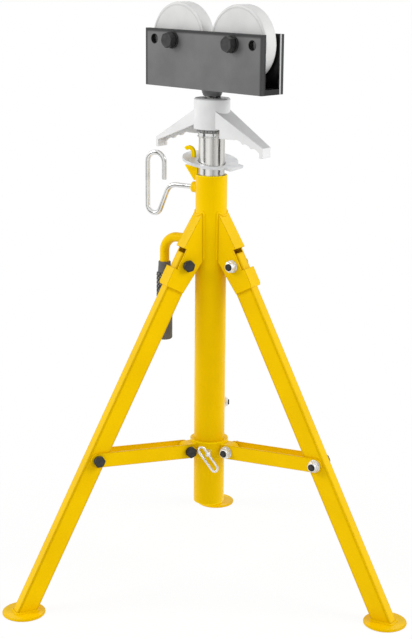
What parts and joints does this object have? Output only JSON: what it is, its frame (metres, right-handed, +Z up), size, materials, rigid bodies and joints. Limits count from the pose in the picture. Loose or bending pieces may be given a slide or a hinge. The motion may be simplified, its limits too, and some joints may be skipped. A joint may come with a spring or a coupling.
{
  "type": "pipe jack stand",
  "caption": "Folding tripod pipe stand with a pinned sliding mast, a winged screw jack, a carry handle and a turning roller head.",
  "frame": {"origin": "on the floor, at the centre of the footprint's bounding box", "axes": "+Z up along the column, +X to the right in the picture, -Y towards the camera"},
  "size_m": [0.617, 0.5433, 0.9118],
  "materials": {
    "yellow_paint": "gloss powder coat",
    "grey_paint": "satin powder coat",
    "bright_zinc": "bright zinc plate",
    "black_steel": "black oxide",
    "cast_grey": "as cast, light grey",
    "white_plastic": "matt",
    "black_rubber": "matt"
  },
  "bodies": {
    "column": {"column_tube": "yellow_paint", "leg_bracket_left": "yellow_paint", "pivot_bolt_left": "black_steel", "pivot_nut_left": "bright_zinc", "leg_bracket_right": "yellow_paint", "pivot_bolt_right": "black_steel", "pivot_nut_right": "bright_zinc", "leg_bracket_rear": "yellow_paint", "pivot_bolt_rear": "black_steel", "pivot_nut_rear": "bright_zinc", "height_pin_boss": "yellow_paint", "latch_hook": "yellow_paint", "carry_handle": "yellow_paint", "handle_grip": "black_rubber"},
    "collar": {"collar": "yellow_paint", "collar_bolt_left": "black_steel", "collar_nut_left": "bright_zinc", "collar_bolt_right": "black_steel", "collar_nut_right": "bright_zinc", "collar_bolt_rear": "black_steel", "collar_nut_rear": "bright_zinc"},
    "leg_left": {"leg_left": "yellow_paint", "foot_left": "yellow_paint"},
    "leg_right": {"leg_right": "yellow_paint", "foot_right": "yellow_paint"},
    "leg_rear": {"leg_rear": "yellow_paint", "foot_rear": "yellow_paint"},
    "brace_left": {"brace_left_a": "yellow_paint", "brace_left_b": "yellow_paint", "brace_bolt_left": "black_steel", "brace_nut_left": "bright_zinc"},
    "brace_right": {"brace_right_a": "yellow_paint", "brace_right_b": "yellow_paint", "brace_bolt_right": "black_steel", "brace_nut_right": "bright_zinc"},
    "brace_rear": {"brace_rear_a": "yellow_paint", "brace_rear_b": "yellow_paint", "brace_bolt_rear": "black_steel", "brace_nut_rear": "bright_zinc"},
    "lock_pin": {"lock_pin": "bright_zinc"},
    "pull_ring": {"pull_ring": "bright_zinc"},
    "mast": {"inner_tube": "bright_zinc", "thrust_washer": "bright_zinc"},
    "height_pin": {"height_pin": "bright_zinc"},
    "jam_plate": {"jam_plate": "bright_zinc"},
    "handle": {"handle_nut": "cast_grey"},
    "screw": {"lift_screw": "bright_zinc", "swivel_retainer": "bright_zinc"},
    "head": {"head_boss": "grey_paint", "head_channel": "grey_paint", "roller_bush_left": "bright_zinc", "roller_bush_right": "bright_zinc", "axle_bolt_left": "black_steel", "axle_bolt_right": "black_steel", "axle_nut_left": "black_steel", "axle_nut_right": "black_steel"},
    "roller_left": {"roller_left": "white_plastic"},
    "roller_right": {"roller_right": "white_plastic"}
  },
  "joints": [
    {"name": "tripod_fold", "type": "slide", "parent": "column", "child": "collar", "axis": [0, 0, 1], "range_m": [0, 0.12449]},
    {"name": "leg_left_fold", "type": "hinge", "parent": "column", "child": "leg_left", "pos_m": [-0.04027, -0.10281, 0.522], "axis": [0.5, -0.866, 0], "range_deg": [0, 20.01]},
    {"name": "brace_left_fold", "type": "hinge", "parent": "collar", "child": "brace_left", "pos_m": [-0.03551, -0.10006, 0.2225], "axis": [0.5, -0.866, 0], "range_deg": [0, 75.57]},
    {"name": "leg_right_fold", "type": "hinge", "parent": "column", "child": "leg_right", "pos_m": [0.04027, -0.10281, 0.522], "axis": [0.5, 0.866, 0], "range_deg": [0, 20.01]},
    {"name": "brace_right_fold", "type": "hinge", "parent": "collar", "child": "brace_right", "pos_m": [0.03551, -0.10006, 0.2225], "axis": [0.5, 0.866, 0], "range_deg": [0, 75.57]},
    {"name": "leg_rear_fold", "type": "hinge", "parent": "column", "child": "leg_rear", "pos_m": [0, -0.03306, 0.522], "axis": [-1, 0, 0], "range_deg": [0, 20.01]},
    {"name": "brace_rear_fold", "type": "hinge", "parent": "collar", "child": "brace_rear", "pos_m": [0, -0.03856, 0.2225], "axis": [-1, 0, 0], "range_deg": [0, 75.57]},
    {"name": "lock_pin_slide", "type": "slide", "parent": "collar", "child": "lock_pin", "axis": [0, -1, 0], "range_m": [-0.004, 0.01]},
    {"name": "pull_ring_swing", "type": "hinge", "parent": "lock_pin", "child": "pull_ring", "pos_m": [0, -0.12106, 0.2225], "axis": [-0.5736, 0, 0.8192], "range_deg": [-35, 40]},
    {"name": "mast_lift", "type": "slide", "parent": "column", "child": "mast", "axis": [0, 0, 1], "range_m": [0, 0.4]},
    {"name": "height_pin_slide", "type": "slide", "parent": "column", "child": "height_pin", "axis": [-0.866, 0.5, 0], "range_m": [-0.006, 0.02]},
    {"name": "jam_plate_lift", "type": "hinge", "parent": "column", "child": "jam_plate", "pos_m": [-0.02815, -0.06331, 0.68119], "axis": [-0.8192, -0.5736, 0], "range_deg": [0, 10]},
    {"name": "handle_spin", "type": "hinge", "parent": "mast", "child": "handle", "pos_m": [0, -0.07956, 0.75], "axis": [0, 0, 1], "range_deg": [0, 7200]},
    {"name": "screw_lift", "type": "slide", "parent": "mast", "child": "screw", "axis": [0, 0, 1], "range_m": [0, 0.1001]},
    {"name": "head_turn", "type": "hinge", "parent": "screw", "child": "head", "pos_m": [0, -0.07956, 0.79], "axis": [0, 0, 1], "continuous": true},
    {"name": "roller_left_spin", "type": "hinge", "parent": "head", "child": "roller_left", "pos_m": [-0.04597, -0.03758, 0.8558], "axis": [0.6743, 0.7385, 0], "continuous": true},
    {"name": "roller_right_spin", "type": "hinge", "parent": "head", "child": "roller_right", "pos_m": [0.04597, -0.12153, 0.8558], "axis": [0.6743, 0.7385, 0], "continuous": true}
  ],
  "couplings": [
    {"joint": "leg_left_fold", "follows": "tripod_fold", "rad_per_m": 2.804},
    {"joint": "brace_left_fold", "follows": "tripod_fold", "rad_per_m": 10.593},
    {"joint": "leg_right_fold", "follows": "tripod_fold", "rad_per_m": 2.804},
    {"joint": "brace_right_fold", "follows": "tripod_fold", "rad_per_m": 10.593},
    {"joint": "leg_rear_fold", "follows": "tripod_fold", "rad_per_m": 2.804},
    {"joint": "brace_rear_fold", "follows": "tripod_fold", "rad_per_m": 10.593},
    {"joint": "screw_lift", "follows": "handle_spin", "m_per_rad": 0.00079577}
  ]
}
